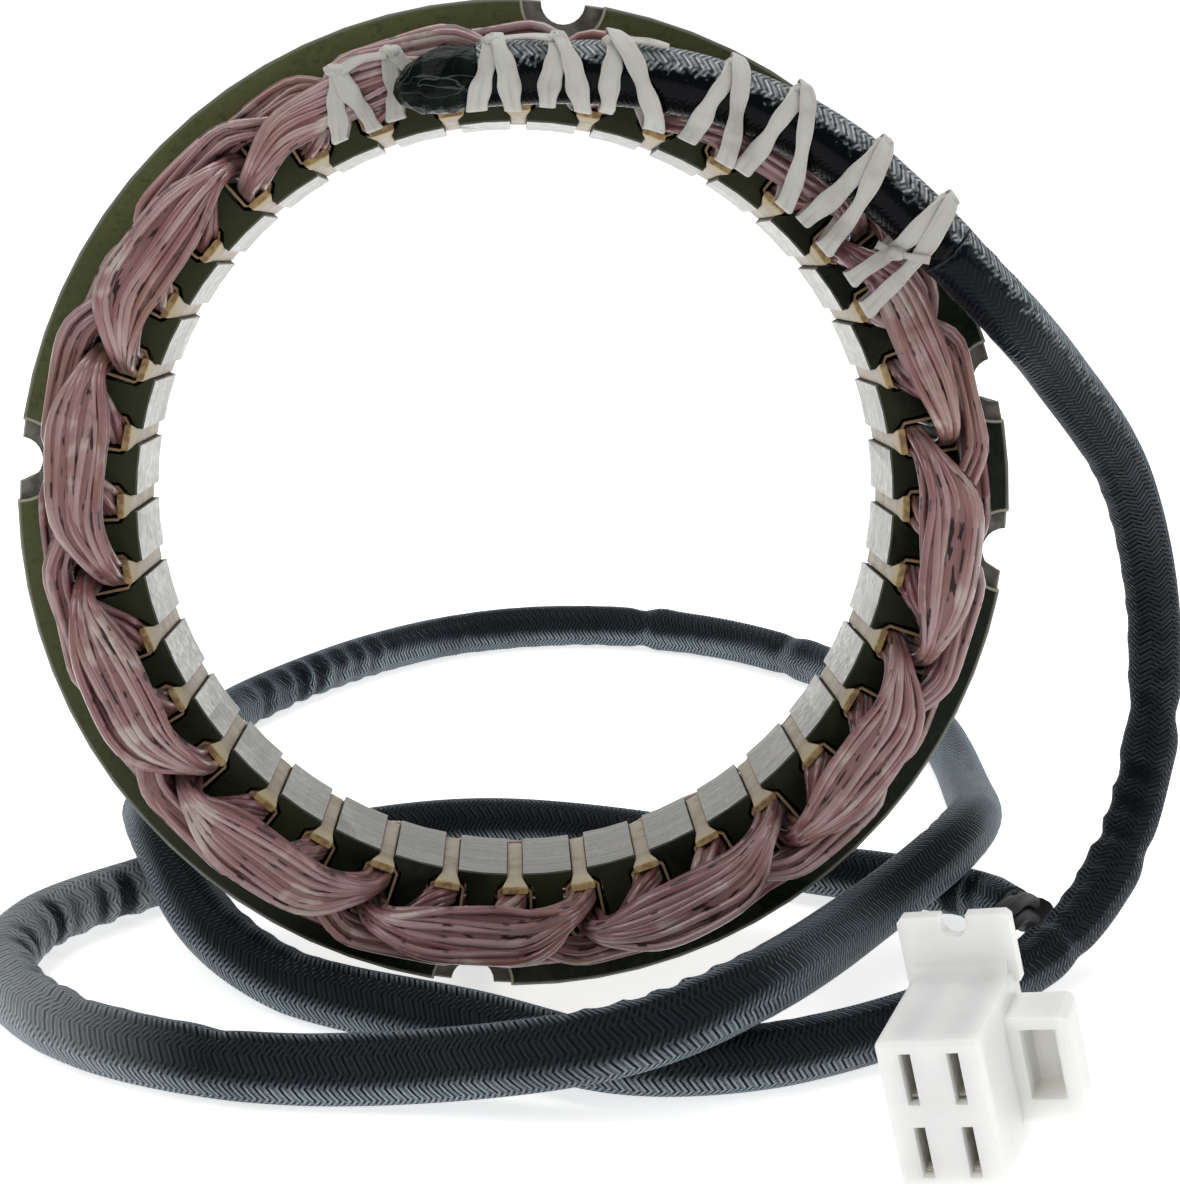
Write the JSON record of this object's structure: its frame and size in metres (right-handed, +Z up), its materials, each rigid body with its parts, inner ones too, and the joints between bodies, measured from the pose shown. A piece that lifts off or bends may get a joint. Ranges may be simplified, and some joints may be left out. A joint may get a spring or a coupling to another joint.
{
  "type": "wound stator",
  "caption": "Ring stator with inward teeth, lap-wound coils in paper-lined slots, a laced wire sleeve and a free harness that ends in a white plug housing.",
  "frame": {"origin": "on the supporting surface, below the middle of the ring's bore and of its stack", "axes": "+Z up; +Y backwards, the short way through the ring; the front face with the lead exit looks towards -Y and leans back 8 degrees; +X right, seen from the front"},
  "size_m": [0.1989, 0.267, 0.1558],
  "materials": {
    "varnished_steel": "clear varnish over stamped steel, bare at the ground tooth tips and seats",
    "varnished_wire": "glossy red-brown enamel and varnish",
    "slot_paper": "cream insulation paper soaked in varnish",
    "varnished_cloth": "dark cloth soaked in varnish",
    "woven_sleeve": "woven blue-black sleeve, slight sheen",
    "cotton_tape": "flat off-white lacing tape",
    "lead_insulation": "satin",
    "white_nylon": "satin moulded nylon",
    "tinned_brass": "tinned"
  },
  "bodies": {
    "root": {"connector_housing": "white_nylon", "harness_cable": "woven_sleeve", "lacing_tie_1": "cotton_tape", "lacing_tie_2": "cotton_tape", "lacing_tie_3": "cotton_tape", "lacing_tie_4": "cotton_tape", "lacing_tie_5": "cotton_tape", "lacing_tie_6": "cotton_tape", "lacing_tie_7": "cotton_tape", "lacing_tie_8": "cotton_tape", "lacing_tie_9": "cotton_tape", "lamination_core": "varnished_steel", "lead_tails": "lead_insulation", "sleeve_on_ring": "woven_sleeve", "slot_paper_01": "slot_paper", "slot_paper_02": "slot_paper", "slot_paper_03": "slot_paper", "slot_paper_04": "slot_paper", "slot_paper_05": "slot_paper", "slot_paper_06": "slot_paper", "slot_paper_07": "slot_paper", "slot_paper_08": "slot_paper", "slot_paper_09": "slot_paper", "slot_paper_10": "slot_paper", "slot_paper_11": "slot_paper", "slot_paper_12": "slot_paper", "slot_paper_13": "slot_paper", "slot_paper_14": "slot_paper", "slot_paper_15": "slot_paper", "slot_paper_16": "slot_paper", "slot_paper_17": "slot_paper", "slot_paper_18": "slot_paper", "slot_paper_19": "slot_paper", "slot_paper_20": "slot_paper", "slot_paper_21": "slot_paper", "slot_paper_22": "slot_paper", "slot_paper_23": "slot_paper", "slot_paper_24": "slot_paper", "slot_paper_25": "slot_paper", "slot_paper_26": "slot_paper", "slot_paper_27": "slot_paper", "slot_paper_28": "slot_paper", "slot_paper_29": "slot_paper", "slot_paper_30": "slot_paper", "slot_paper_31": "slot_paper", "slot_paper_32": "slot_paper", "slot_paper_33": "slot_paper", "slot_paper_34": "slot_paper", "slot_paper_35": "slot_paper", "slot_paper_36": "slot_paper", "splice_wrap": "varnished_cloth", "terminal_1": "tinned_brass", "terminal_2": "tinned_brass", "terminal_3": "tinned_brass", "terminal_4": "tinned_brass", "winding_phase_a": "varnished_wire", "winding_phase_b": "varnished_wire", "winding_phase_c": "varnished_wire"}
  },
  "joints": []
}
